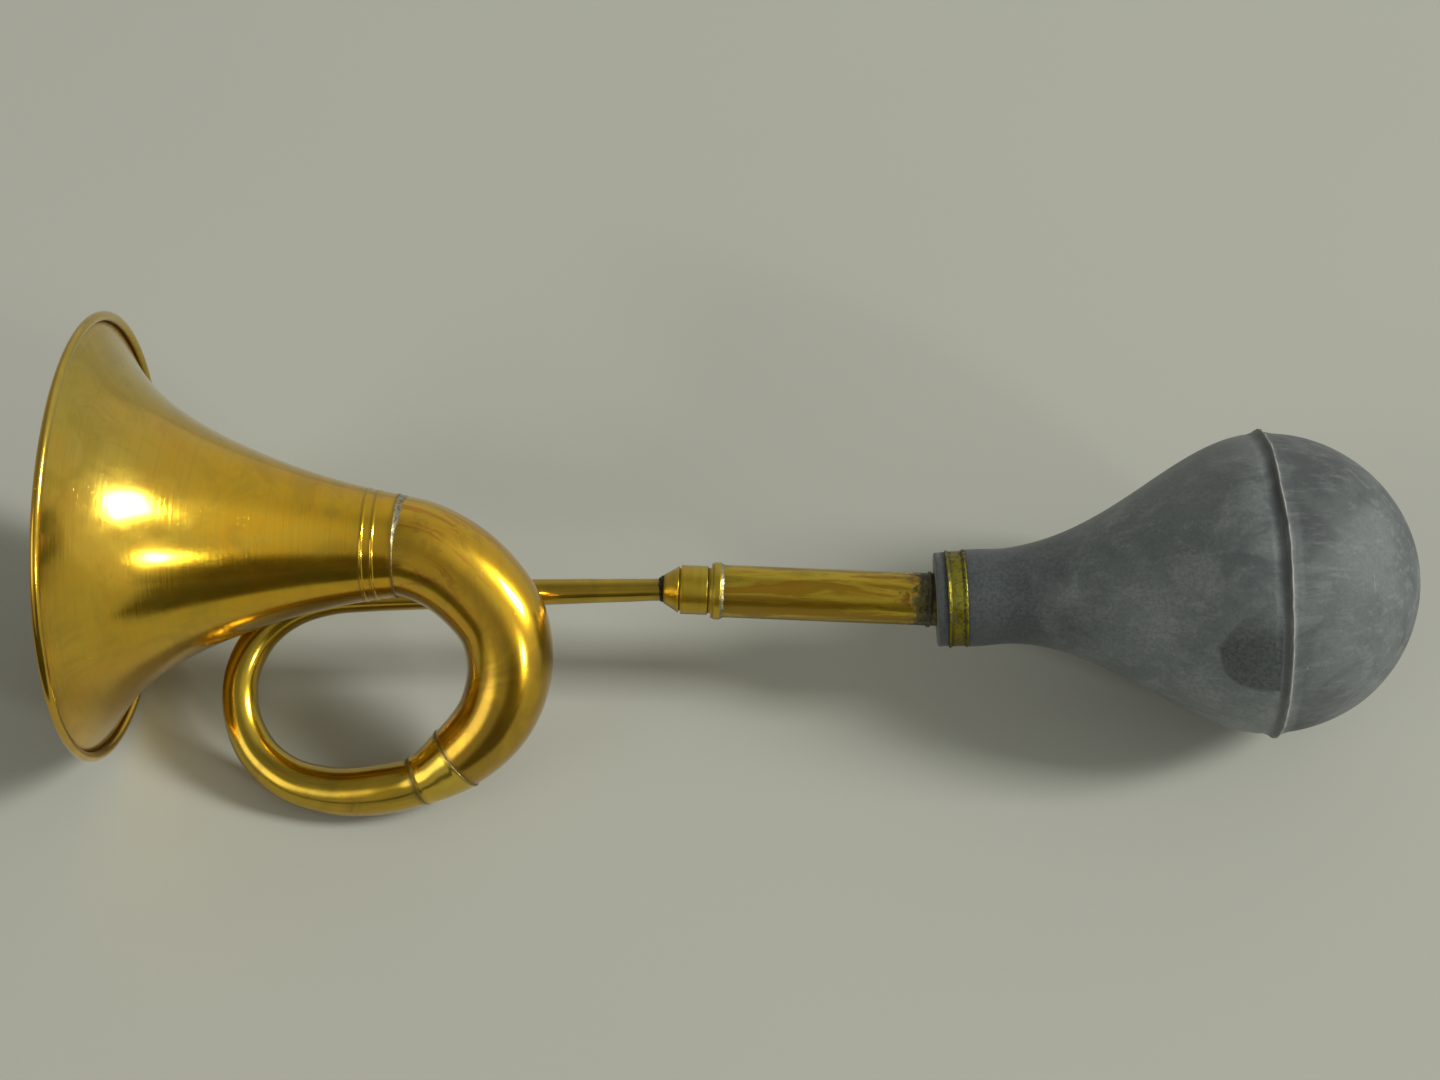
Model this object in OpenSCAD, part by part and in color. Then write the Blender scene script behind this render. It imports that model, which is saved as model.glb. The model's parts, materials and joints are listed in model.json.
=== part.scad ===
// Bulb horn: a spun brass bell on a coiled conical tube, blown by a rubber squeeze bulb
// through a small reed. Everything is drawn in the horn's own frame and laid down at the end:
// +X runs along the bulb tube towards the bulb, the coil lies in the XY plane, and the origin
// is on the tube's axis at the slip joint between the reed holder and the bulb tube.

/* [Bell] */
// Diameter of the mouth over its rolled rim
bell_d = 131.6; // [120:0.2:150]
// Length from the mouth to the soldered seam
bell_l = 88.3; // [75:0.1:100]
// Diameter of the bell's tail at the seam
tail_d = 30.4; // [30:0.1:31.4]
// Thickness of the spun sheet
sheet_t = 0.9; // [0.7:0.05:1.2]
// Diameter of the rolled rim
rim_bead_d = 2.8; // [2.4:0.1:4]
// Diameter of the wire inside the rolled rim
rim_wire_d = 1.2; // [0.8:0.1:1.3]
// Share of the flare that grows in proportion to length
flare_straight = 0.26; // [0.2:0.01:0.4]
// Share of the flare that grows with the square of length
flare_square = 0.45; // [0.3:0.01:0.5]
// Power that sets how suddenly the rest of the flare opens at the mouth
flare_power = 9; // [8:0.5:14]
// How far the bell's axis turns in the plane of the coil, in degrees
bell_turn = 0.5; // [0:0.1:2]
// How far the mouth dips below the plane of the coil, in degrees
bell_dip = 1.5; // [0:0.1:4]

/* [Coil] */
// Wall of the large bend and of the sleeve
bend_wall = 0.9; // [0.7:0.05:1.2]
// Wall of the small coiled tube
coil_wall = 0.8; // [0.6:0.05:1]
// How far the coupling sleeve stands proud of the tubes it joins
sleeve_proud = 0.5; // [0.3:0.05:0.8]

/* [Reed holder] */
// Diameter of the collar
collar_d = 14.7; // [14.3:0.1:15.8]
// Length of the collar
collar_l = 8.9; // [6:0.1:10]
// Length of the cone in front of the collar
cone_l = 5.6; // [5.4:0.1:7]
// Length of the spigot inside the bulb tube
spigot_l = 20.0; // [16:0.5:24]
// Diameter of the air way through the holder
air_way_d = 4.4; // [3:0.1:5]

/* [Reed] */
// Diameter of the reed's brass body
shallot_d = 8.0; // [7:0.1:9]
// Length of the reed's body beyond the spigot
shallot_l = 27.0; // [20:0.5:32]
// Width of the tongue
tongue_w = 5.0; // [4:0.1:6]
// Thickness of the tongue
tongue_t = 0.35; // [0.25:0.05:0.5]
// Lift of the tongue off its seat at rest, in degrees
tongue_lift = 2.5; // [2:0.1:3]

/* [Bulb tube] */
// Outer diameter of the bulb tube
tube_d = 15.9; // [15.4:0.1:16.4]
// Inner diameter of the bulb tube
tube_bore = 14.0; // [13.6:0.1:14.4]
// Length from the slip joint to the mouth of the bulb
tube_l = 67.4; // [60:0.2:80]
// Length of tube hidden inside the bulb's neck
tube_inset = 22.0; // [16:0.5:24]
// Outer diameter of the stop ring on the tube's end
stop_ring_d = 17.2; // [16.8:0.1:19]
// Width of the stop ring
stop_ring_w = 3.0; // [2:0.1:4]

/* [Bulb] */
// Diameter of the bulb at its seam, without the moulded ridge
bulb_d = 90.6; // [84:0.5:100]
// Length from the mouth of the bulb's neck to the seam
bulb_front_l = 97.2; // [92:0.2:106]
// Diameter of the bulb's neck
neck_d = 29.2; // [28.4:0.1:31]
// Wall of the rubber
rubber_t = 3.4; // [2.6:0.1:4.5]
// Height of the moulded ridge at the seam
ridge_h = 1.2; // [0.6:0.1:1.6]
// Width of the clamping band
band_w = 5.8; // [5:0.1:8]
// Outer diameter of the clamping band over its raised edges
band_d = 29.6; // [29.4:0.1:32]
// How far the bulb leans in the plane of the coil, in degrees
bulb_lean = 5.2; // [2:0.1:7]
// How far the bulb leans out of the plane of the coil, in degrees
bulb_rise = 3.0; // [0:0.1:4]

/* [Resting pose] */
// Roll that lays the horn on its rim, coil and bulb, in degrees
rest_roll = 40.97; // [40:0.01:70]
// Pitch that lays the horn on its rim, coil and bulb, in degrees
rest_pitch = 1.61; // [0:0.01:6]
// Move along X that centres the resting horn
rest_x = -14.91; // [-40:0.01:40]
// Move along Y that centres the resting horn
rest_y = 4.72; // [-40:0.01:40]
// Height of the slip joint above the floor
rest_z = 41.40; // [20:0.01:80]

/* [Hidden] */

polished_brass = "#c9a13a";
olive_brass = "#9a8434";
dark_brass = "#7d6a2c";
solder_grey = "#a9a89c";
rubber_grey = "#5d656d";
wire_grey = "#6b6b68";
cork_brown = "#a5794a";

// ---- bell: radius at a distance s from the seam, towards the mouth
bell_r = bell_d / 2;
tail_r = tail_d / 2;
rim_bead_r = rim_bead_d / 2;
bell_steps = 26;
flare_rest = 1 - flare_straight - flare_square;
function flare(t) = flare_straight * t + flare_square * t * t + flare_rest * pow(t, flare_power);
function bell_radius(t) = tail_r + (bell_r - rim_bead_r - tail_r) * flare(t);
// steps crowd towards the mouth, where the flare opens fastest
function bell_t(i) = 1 - pow(1 - i / bell_steps, 1.8);
bead_z = bell_l - rim_bead_r;
bead_at = bell_r - rim_bead_r;
ring_step_h = 0.25;
tail_ring_s = [5.0, 8.0];
tail_ring_w = 0.9;

// ---- coil: stations [x, y, z, outer radius] along the centre line, seam to reed holder.
// The large bend turns down from the bell, the sleeve takes it into the small tube, and the
// small tube turns back up behind the bell's tail and runs straight to the reed holder.
coil = [
    [ -91.4,   9.9, 20.0, 14.7],
    [ -79.5,   6.7, 19.8, 14.4],
    [ -68.5,  -1.0, 18.8, 14.1],
    [ -60.5, -11.5, 17.6, 13.5],
    [ -58.0, -24.0, 16.0, 12.7],
    [ -61.5, -38.5, 14.0, 11.7],
    [ -73.0, -52.0, 12.0,  9.9],
    [ -83.8, -59.2, 10.2,  7.5],
    [ -96.5, -62.8,  8.0,  7.6],
    [-111.5, -63.8,  5.8,  7.1],
    [-124.0, -60.8,  4.0,  6.6],
    [-133.5, -53.5,  2.3,  6.0],
    [-139.0, -42.5,  0.8,  5.5],
    [-139.4, -29.8, -0.5,  5.3],
    [-134.3, -18.6, -1.4,  5.2],
    [-125.2, -11.0, -1.8,  5.05],
    [-114.5,  -7.2, -1.8,  4.9],
    [-102.0,  -5.8, -1.5,  4.7],
    [ -85.0,  -4.8, -1.1,  4.35],
    [ -45.0,  -2.1, -0.4,  3.9],
    [ -13.3,  -0.2,  0.0,  3.3],
];
sleeve_from = 6;
sleeve_to = 7;
coil_last = len(coil) - 1;
bend_start_r = coil[0][3];
bend_sides = 28;
coil_sides = 22;
rings_per_span = 4;

function place(p) = [p[0], p[1], p[2]];
function unit(v) = v / norm(v);
function turned(s, a, b) = [s * cos(a) * cos(b), s * sin(a) * cos(b), s * sin(b)];
bell_way = turned(1, bell_turn, bell_dip);
function span_l(i) = norm(place(coil[i + 1]) - place(coil[i]));
// slope per millimetre at station i, weighted by the lengths of the spans beside it
function slope(i) =
    i == 0 ? concat(bell_way, (coil[1][3] - coil[0][3]) / span_l(0)) :
    i == coil_last ? (coil[i] - coil[i - 1]) / span_l(i - 1) :
    ((coil[i] - coil[i - 1]) * span_l(i) / span_l(i - 1)
     + (coil[i + 1] - coil[i]) * span_l(i - 1) / span_l(i)) / (span_l(i - 1) + span_l(i));
// smooth curve through the stations; u is the station number with its fraction
function coil_at(u) =
    let (i = min(floor(u), coil_last - 1), t = u - i, h = span_l(i))
    coil[i] * (1 + 2 * t) * (1 - t) * (1 - t) + slope(i) * h * t * (1 - t) * (1 - t)
    + coil[i + 1] * t * t * (3 - 2 * t) - slope(i + 1) * h * t * t * (1 - t);
probe = 0.01;
function coil_way(u) =
    u <= 0 ? bell_way
           : unit(place(coil_at(min(u + probe, coil_last)) - coil_at(max(u - probe, 0))));
// ring of points round the centre line at u, at a radius r
function coil_ring(u, r, sides) =
    let (c = place(coil_at(u)), w = coil_way(u), n = unit(cross([0, 0, 1], w)), b = cross(w, n))
    [for (k = [0:sides - 1]) c + r * (cos(360 * k / sides) * n + sin(360 * k / sides) * b)];

// hollow tube along the coil: stops are [u, inner radius, outer radius]
module coil_pipe(stops, sides) {
    count = len(stops);
    inner = [for (s = stops) each coil_ring(s[0], s[1], sides)];
    outer = [for (s = stops) each coil_ring(s[0], s[2], sides)];
    shift = count * sides;
    side_faces = [for (j = [0:count - 2], k = [0:sides - 1])
        let (a = j * sides + k, b = j * sides + (k + 1) % sides)
        each [[shift + a, shift + a + sides, shift + b + sides, shift + b],
              [a, b, b + sides, a + sides]]];
    end = (count - 1) * sides;
    end_faces = [for (k = [0:sides - 1])
        let (n = (k + 1) % sides)
        each [[k, shift + k, shift + n, n],
              [end + k, end + n, shift + end + n, shift + end + k]]];
    polyhedron(concat(inner, outer), concat(side_faces, end_faces), convexity = 6);
}

function coil_stops(from, to, wall, proud = 0) =
    let (count = round((to - from) * rings_per_span))
    [for (j = [0:count])
        let (u = from + (to - from) * j / count, r = coil_at(u)[3])
        [u, r - wall, r + proud]];

// ---- reed holder, tube and bulb stations along X
ring_gap = 0.15;
spigot_fit = 0.05;
spigot_d = tube_bore - 2 * spigot_fit;
waist_depth = 0.9;
waist_d = spigot_d - 2 * waist_depth;
waist_from = 4.0;
waist_to = 14.0;
collar_from = -ring_gap - collar_l;
cone_from = collar_from - cone_l;
pipe_socket_r = 3.6;
pipe_socket_l = 1.8;
shallot_from = 6.0;
shallot_wall = 1.8;
shallot_end_l = 3.0;
seat_y = 1.6;
slot_h = 3.4;
tongue_root = 3.0;
tongue_l = shallot_l - 1.5;
reed_root_x = spigot_l - tongue_root;
reed_pivot_x = spigot_l - 1.0;
reed_gap = 0.12;
window_w = tongue_w - 1.6;
tube_end_x = tube_l + tube_inset;
bulb_x = tube_l;
bulb_r = bulb_d / 2;
neck_r = neck_d / 2;
seam_s = bulb_front_l;
lip_s = 3.3;
lip_r = 14.1;
seat_r = 13.8;
flare_from = 15.0;
bulb_steps = 16;
mould_bend = 1.18;
function smooth(t) = t * t * (3 - 2 * t);
function bulb_radius(s) =
    s <= flare_from ? neck_r
    : neck_r + (bulb_r - neck_r) * smooth(pow((s - flare_from) / (seam_s - flare_from), mould_bend));
canal_r = 7.0;
canal_to = 30.0;
band_from = lip_s;
band_to = band_from + band_w;
band_lip_w = 1.0;

// ---- placing
module laid() {
    translate([rest_x, rest_y, rest_z]) rotate([rest_roll, rest_pitch, 0]) children();
}
// turns a shape drawn round +Z so that its axis lies along +X
module along_x() {
    rotate([0, 90, 0]) children();
}
// bell frame: +Z runs from the seam to the mouth
module on_bell() {
    translate(place(coil[0])) rotate([0, 0, bell_turn]) rotate([0, -bell_dip, 0])
        rotate([0, -90, 0]) children();
}
// bulb frame: +Z runs from the mouth of the bulb's neck to the bulb's far end
module on_bulb() {
    translate([bulb_x, 0, 0]) rotate([0, -bulb_rise, bulb_lean]) rotate([0, 90, 0]) children();
}
// ring round +Z with a rectangular section
module ring(r_in, r_out, from, to) {
    rotate_extrude($fn = 96) translate([r_in, from]) square([r_out - r_in, to - from]);
}

// ---- bell
bell_outline = [for (i = [0:bell_steps]) [bell_radius(bell_t(i)), bell_l * bell_t(i)]];
module bell() {
    edge = bell_outline[bell_steps];
    // the sheet is thinned on its inner side; its edge runs into the bead
    inner = [for (p = bell_outline) [p[0] - sheet_t, p[1] > bell_l - 1 ? bell_l : p[1]]];
    outer = [for (p = bell_outline) if (p[1] < bead_z) p];
    color(polished_brass) laid() on_bell() difference() {
        union() {
            rotate_extrude($fn = 128)
                polygon(concat(outer, [[bead_at, bead_z], [bead_at, edge[1]]],
                               [for (i = [bell_steps:-1:0]) inner[i]]));
            translate([0, 0, bead_z]) rotate_extrude($fn = 128)
                translate([bead_at, 0]) circle(r = rim_bead_r, $fn = 32);
            for (s = tail_ring_s)
                ring(bell_radius(s / bell_l) - sheet_t / 2,
                     bell_radius(s / bell_l) + ring_step_h, s, s + tail_ring_w);
        }
        translate([0, 0, bead_z]) rotate_extrude($fn = 128)
            translate([bead_at, 0]) circle(d = rim_wire_d, $fn = 24);
    }
}

module rim_wire() {
    color(wire_grey) laid() on_bell() translate([0, 0, bead_z])
        rotate_extrude($fn = 128) translate([bead_at, 0]) circle(d = rim_wire_d, $fn = 24);
}

module bell_solder() {
    color(solder_grey) laid() on_bell()
        rotate_extrude($fn = 96)
            polygon([[bend_start_r - 0.05, -1.2], [bend_start_r + 0.1, -1.2],
                     [tail_r, 0], [bend_start_r - 0.05, 0]]);
}

// ---- coil
module large_bend() {
    color(polished_brass) laid() coil_pipe(coil_stops(0, sleeve_from, bend_wall), bend_sides);
}

module coupling_sleeve() {
    color(polished_brass) laid()
        coil_pipe(coil_stops(sleeve_from, sleeve_to, bend_wall, sleeve_proud), bend_sides);
}

// bead of solder against an end of the sleeve, from the sleeve's end at u to u + away
module sleeve_fillet(u, away, sides) {
    foot = coil_at(u + away)[3];
    head = coil_at(u)[3];
    stops = [[u + away, foot, foot + 0.1], [u, head, head + sleeve_proud]];
    coil_pipe(away < 0 ? stops : [stops[1], stops[0]], sides);
}

module sleeve_solder_bend() {
    color(solder_grey) laid() sleeve_fillet(sleeve_from, -0.06, bend_sides);
}

module sleeve_solder_coil() {
    color(solder_grey) laid() sleeve_fillet(sleeve_to, 0.09, coil_sides);
}

module coil_tube() {
    color(olive_brass) laid()
        coil_pipe(coil_stops(sleeve_to, coil_last, coil_wall), coil_sides);
}

// a drop of solder where two tubes touch
module tack(at) {
    translate(at) sphere(r = tack_r, $fn = 24);
}

tack_r = 1.2;
neck_tack_at = [-127.3, -7.5, 1.5];
bend_tack_at = [-65.8, -3.6, 4.0];
module neck_tack_solder() {
    color(solder_grey) laid() tack(neck_tack_at);
}

module bend_tack_solder() {
    color(solder_grey) laid() tack(bend_tack_at);
}

// ---- reed holder: cone, collar and spigot turned from one bar, bored for air and reed
module reed_holder() {
    cone_r = collar_d / 2 - 0.4;
    groove_r = collar_d / 2 - 1.0;
    profile = [[0, cone_from], [3.7, cone_from], [4.4, cone_from + 0.7], [5.1, cone_from + 1.8],
               [5.8, cone_from + 3.0], [6.4, cone_from + 4.0], [cone_r, cone_from + 4.7],
               [cone_r, collar_from - 0.6], [groove_r, collar_from - 0.4],
               [groove_r, collar_from], [collar_d / 2, collar_from],
               [collar_d / 2, -ring_gap - 0.9], [groove_r + 0.4, -ring_gap - 0.6],
               [groove_r + 0.4, -ring_gap], [spigot_d / 2, -ring_gap],
               [spigot_d / 2, waist_from], [waist_d / 2, waist_from], [waist_d / 2, waist_to],
               [spigot_d / 2, waist_to], [spigot_d / 2, spigot_l], [0, spigot_l]];
    color(olive_brass) laid() difference() {
        along_x() rotate_extrude($fn = 96) polygon(profile);
        translate([cone_from - 1, 0, 0]) along_x()
            cylinder(d = air_way_d, h = spigot_l - cone_from + 2, $fn = 48);
        // socket for the small tube's end
        translate([cone_from - 1, 0, 0]) along_x()
            cylinder(r = pipe_socket_r, h = pipe_socket_l + 1, $fn = 48);
        // socket for the reed's body
        translate([shallot_from, 0, 0]) along_x()
            cylinder(d = shallot_d, h = spigot_l, $fn = 48);
        // slot that takes the tongue's root and its wedge
        translate([reed_root_x - 0.3, seat_y, -tongue_w / 2 - 0.15])
            cube([spigot_l, slot_h, tongue_w + 0.3]);
    }
}

module pipe_solder() {
    color(dark_brass) laid() along_x()
        rotate_extrude($fn = 64) polygon([[3.45, cone_from - 1.0], [3.75, cone_from - 1.0],
                                          [4.3, cone_from], [3.45, cone_from]]);
}

// ---- reed: a slotted tube with a flat seat, a springy tongue over the slot, and a wedge
module reed_shallot() {
    color(polished_brass) laid() difference() {
        translate([shallot_from, 0, 0]) along_x()
            cylinder(d = shallot_d, h = spigot_l - shallot_from + shallot_l, $fn = 48);
        // blind bore, open towards the air way
        translate([shallot_from - 1, 0, 0]) along_x()
            cylinder(d = shallot_d - 2 * shallot_wall,
                     h = spigot_l - shallot_from + shallot_l - shallot_end_l + 1, $fn = 48);
        translate([reed_root_x - 0.3, seat_y, -shallot_d / 2])
            cube([shallot_l + tongue_root + 2, shallot_d, shallot_d]);
        translate([spigot_l + 1.5, 0, -window_w / 2])
            cube([shallot_l - 5, shallot_d, window_w]);
    }
}

module reed_wedge() {
    root_top = seat_y + 2 * reed_gap + tongue_t;
    color(dark_brass) laid() translate([reed_root_x, 0, -tongue_w / 2])
        linear_extrude(tongue_w)
            polygon([[0, root_top + 0.1], [tongue_root + 0.6, root_top + 0.25],
                     [tongue_root + 0.6, seat_y + slot_h], [0, seat_y + slot_h]]);
}

module reed_tongue() {
    root_y = seat_y + reed_gap;
    color(polished_brass) laid() {
        translate([reed_root_x, root_y, -tongue_w / 2])
            cube([reed_pivot_x - reed_root_x + 0.02, tongue_t, tongue_w]);
        translate([reed_pivot_x, root_y, -tongue_w / 2]) rotate([0, 0, tongue_lift])
            cube([tongue_l, tongue_t, tongue_w]);
    }
}

// ---- slip joint and bulb tube
module joint_packing() {
    color(cork_brown) laid() along_x()
        ring(waist_d / 2 + spigot_fit, tube_bore / 2 - spigot_fit,
             waist_from + ring_gap, waist_to - ring_gap);
}

module stop_ring() {
    lip = 0.6;
    color(polished_brass) laid() along_x()
        rotate_extrude($fn = 96)
            polygon([[tube_d / 2, 0], [stop_ring_d / 2 - 0.4, 0], [stop_ring_d / 2 - 0.4, lip],
                     [stop_ring_d / 2, lip + 0.3], [stop_ring_d / 2, stop_ring_w - 0.2],
                     [stop_ring_d / 2 - 0.2, stop_ring_w], [tube_d / 2, stop_ring_w]]);
}

module ring_solder() {
    color(solder_grey) laid() along_x()
        rotate_extrude($fn = 96)
            polygon([[tube_d / 2, stop_ring_w], [tube_d / 2 + 0.55, stop_ring_w],
                     [tube_d / 2 + 0.1, stop_ring_w + 1.3], [tube_d / 2, stop_ring_w + 1.3]]);
}

module bulb_tube() {
    color(olive_brass) laid() along_x() ring(tube_bore / 2, tube_d / 2, 0, tube_end_x);
}

module cuff_ring() {
    color(polished_brass) laid() along_x()
        ring(tube_d / 2, tube_d / 2 + 0.7, tube_l - 2.6, tube_l - 1.6);
}

// ---- bulb: neck and cone in one moulding, round end in the other, joined at the seam
module bulb_front() {
    outer = [for (j = [0:bulb_steps])
        let (s = flare_from + (seam_s - flare_from) * j / bulb_steps) [bulb_radius(s), s]];
    cavity = [for (j = [bulb_steps:-1:0])
        let (s = canal_to + (seam_s - canal_to) * j / bulb_steps)
        [max(canal_r, bulb_radius(s) - rubber_t - 3 * (1 - smooth(j / bulb_steps))), s]];
    color(rubber_grey) laid() difference() {
        on_bulb() rotate_extrude($fn = 96)
            polygon(concat([[canal_r, 0], [lip_r, 0], [lip_r, lip_s], [seat_r, lip_s],
                            [seat_r, band_to], [neck_r, band_to]],
                           outer, cavity));
        // the tube's seat, straight along the tube although the bulb leans
        translate([bulb_x - 5, 0, 0]) along_x()
            cylinder(d = tube_d, h = tube_inset + 5, $fn = 96);
    }
}

module clamp_band() {
    r = band_d / 2;
    color(dark_brass) laid() on_bulb() rotate_extrude($fn = 96)
        polygon([[seat_r, band_from], [r, band_from], [r, band_from + band_lip_w],
                 [r - 0.45, band_from + band_lip_w + 0.5], [r - 0.45, band_to - band_lip_w - 0.5],
                 [r, band_to - band_lip_w], [r, band_to], [seat_r, band_to]]);
}

module band_rivet() {
    r = band_d / 2 - 0.45;
    color(polished_brass) laid() on_bulb() translate([r - 0.1, 0, (band_from + band_to) / 2])
        rotate([0, 90, 0]) cylinder(r1 = 1.3, r2 = 0.8, h = 0.8, $fn = 32);
}

module bulb_rear() {
    arc_steps = 18;
    outer = [for (j = [0:arc_steps])
        let (a = 90 * j / arc_steps) [bulb_r * cos(a), seam_s + bulb_r * sin(a)]];
    inner_r = bulb_r - rubber_t;
    inner = [for (j = [arc_steps:-1:0])
        let (a = 90 * j / arc_steps) [inner_r * cos(a), seam_s + inner_r * sin(a)]];
    ridge_w = 1.8;
    color(rubber_grey) laid() on_bulb() rotate_extrude($fn = 96) union() {
        polygon(concat(outer, inner));
        polygon([[bulb_r - 1, seam_s], [bulb_r + ridge_h, seam_s],
                 [bulb_r + ridge_h, seam_s + ridge_w / 3], [bulb_r - 1, seam_s + ridge_w]]);
    }
}

bell();
rim_wire();
bell_solder();
large_bend();
coupling_sleeve();
sleeve_solder_bend();
sleeve_solder_coil();
coil_tube();
neck_tack_solder();
bend_tack_solder();
reed_holder();
pipe_solder();
reed_shallot();
reed_wedge();
reed_tongue();
joint_packing();
stop_ring();
ring_solder();
bulb_tube();
cuff_ring();
bulb_front();
clamp_band();
band_rivet();
bulb_rear();
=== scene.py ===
import json
import math

import bmesh
import bpy
import numpy as np
from mathutils import Matrix, Vector, noise


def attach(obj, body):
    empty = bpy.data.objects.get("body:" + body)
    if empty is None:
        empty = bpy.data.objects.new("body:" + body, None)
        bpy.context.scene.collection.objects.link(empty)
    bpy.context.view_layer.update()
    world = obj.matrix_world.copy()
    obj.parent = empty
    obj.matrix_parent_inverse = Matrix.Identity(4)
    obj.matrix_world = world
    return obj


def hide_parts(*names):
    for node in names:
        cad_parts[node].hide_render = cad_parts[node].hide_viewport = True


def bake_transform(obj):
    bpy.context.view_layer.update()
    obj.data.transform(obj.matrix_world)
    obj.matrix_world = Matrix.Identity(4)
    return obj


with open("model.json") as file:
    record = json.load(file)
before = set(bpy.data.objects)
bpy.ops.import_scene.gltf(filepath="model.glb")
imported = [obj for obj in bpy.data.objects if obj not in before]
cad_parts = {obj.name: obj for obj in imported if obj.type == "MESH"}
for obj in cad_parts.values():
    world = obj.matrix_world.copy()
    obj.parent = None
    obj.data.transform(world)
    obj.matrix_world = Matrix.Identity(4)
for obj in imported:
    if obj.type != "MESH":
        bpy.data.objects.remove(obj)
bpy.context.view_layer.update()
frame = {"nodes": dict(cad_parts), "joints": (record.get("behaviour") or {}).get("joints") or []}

# The horn's own frame, in millimetres: +X runs along the bulb tube towards the bulb, the coil
# lies in the XY plane, +Z faces the photograph's viewer, and the origin is on the tube's axis at
# the slip joint. The joints say where that frame lies: the slip joint's axis is its X axis and
# the reed's hinge is parallel to its Z axis.
MM = 0.001
JOINTS = {j["name"]: j for j in frame["joints"]}


def unit(v):
    v = np.asarray(v, float)
    return v / np.linalg.norm(v)


HORN_X = unit(JOINTS["bulb_turn"]["axis"])
HORN_Z = unit(JOINTS["reed_flex"]["axis"])
HORN_Y = np.cross(HORN_Z, HORN_X)
HORN_TURN = np.column_stack([HORN_X, HORN_Y, HORN_Z])
HORN_AT = np.array(JOINTS["bulb_turn"]["pos_m"])
X, _, Z = np.eye(3)


def to_row(points):
    """Points of the horn's frame, in millimetres, as points of the row frame, in metres."""
    return np.asarray(points, float) @ HORN_TURN.T * MM + HORN_AT


# ---- dimensions in millimetres, the same as the CAD part's; the rim is 0.02 mm inside it, so
# that its finer facets don't stand out of the CAD part's box
BELL_R = 65.78
BELL_L = 88.3
TAIL_R = 15.2
SHEET_T = 0.9
RIM_T = 0.45
BEAD_R = 1.4
FLARE = (0.26, 0.45, 0.29)
FLARE_POWER = 9
BELL_TURN, BELL_DIP = math.radians(0.5), math.radians(1.5)
TAIL_RINGS = (5.0, 8.0)
BEND_WALL, COIL_WALL, SLEEVE_PROUD = 0.9, 0.8, 0.5
COLLAR_R, COLLAR_L, CONE_L = 7.35, 8.9, 5.6
SPIGOT_R, SPIGOT_L, WAIST_R, WAIST = 6.95, 20.0, 6.05, (4.0, 14.0)
AIR_WAY_R, PIPE_SOCKET_R, PIPE_SOCKET_L = 2.2, 3.6, 1.8
SHALLOT_R, SHALLOT_FROM = 4.0, 6.0
TUBE_R, TUBE_BORE_R, TUBE_L, TUBE_INSET = 7.95, 7.0, 67.4, 22.0
STOP_R, STOP_W = 8.6, 3.0
BULB_R, BULB_FRONT_L, NECK_R, RUBBER_T = 45.3, 97.2, 14.6, 3.4
BAND_R, BAND_FROM, BAND_TO = 14.8, 3.3, 9.1
SEAM_AT = BULB_FRONT_L + 0.6
BULB_LEAN, BULB_RISE = math.radians(5.2), math.radians(3.0)
RING_GAP = 0.15
COLLAR_FROM = -RING_GAP - COLLAR_L
CONE_FROM = COLLAR_FROM - CONE_L

# stations of the coil's centre line: x, y, z and the tube's outer radius
COIL = np.array([
    (-91.4, 9.9, 20.0, 14.7),
    (-79.5, 6.7, 19.8, 14.4),
    (-68.5, -1.0, 18.8, 14.1),
    (-60.5, -11.5, 17.6, 13.5),
    (-58.0, -24.0, 16.0, 12.7),
    (-61.5, -38.5, 14.0, 11.7),
    (-73.0, -52.0, 12.0, 9.9),
    (-83.8, -59.2, 10.2, 7.5),
    (-96.5, -62.8, 8.0, 7.6),
    (-111.5, -63.8, 5.8, 7.1),
    (-124.0, -60.8, 4.0, 6.6),
    (-133.5, -53.5, 2.3, 6.0),
    (-139.0, -42.5, 0.8, 5.5),
    (-139.4, -29.8, -0.5, 5.3),
    (-134.3, -18.6, -1.4, 5.2),
    (-125.2, -11.0, -1.8, 5.05),
    (-114.5, -7.2, -1.8, 4.9),
    (-102.0, -5.8, -1.5, 4.7),
    (-85.0, -4.8, -1.1, 4.35),
    (-45.0, -2.1, -0.4, 3.9),
    (-13.3, -0.2, 0.0, 3.3),
])
COIL_LAST = len(COIL) - 1
SLEEVE_FROM, SLEEVE_TO = 6, 7


# ---- shapes in the horn's frame
def turned(turn, rise):
    """Direction turned by two angles from +X: in the coil's plane, then out of it."""
    return np.array([math.cos(turn) * math.cos(rise), math.sin(turn) * math.cos(rise), math.sin(rise)])


BELL_WAY = turned(BELL_TURN, BELL_DIP)
BULB_WAY = turned(BULB_LEAN, BULB_RISE)
SPANS = np.linalg.norm(np.diff(COIL[:, :3], axis=0), axis=1)


def coil_slope(i):
    """Slope of the centre line and radius at a station, per millimetre."""
    if i == 0:
        return np.append(BELL_WAY, (COIL[1, 3] - COIL[0, 3]) / SPANS[0])
    if i == COIL_LAST:
        return (COIL[i] - COIL[i - 1]) / SPANS[i - 1]
    before, after = SPANS[i - 1], SPANS[i]
    into, out = (COIL[i] - COIL[i - 1]) / before, (COIL[i + 1] - COIL[i]) / after
    return (into * after + out * before) / (before + after)


COIL_SLOPES = [coil_slope(i) for i in range(COIL_LAST + 1)]


def coil_at(u):
    """Centre and outer radius at station number u, on the smooth curve through the stations."""
    i = min(int(u), COIL_LAST - 1)
    t = u - i
    a, b, h = COIL[i], COIL[i + 1], SPANS[i]
    s = 1 - t
    return (a * (1 + 2 * t) * s * s + COIL_SLOPES[i] * h * t * s * s
            + b * t * t * (3 - 2 * t) - COIL_SLOPES[i + 1] * h * t * t * s)


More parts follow.
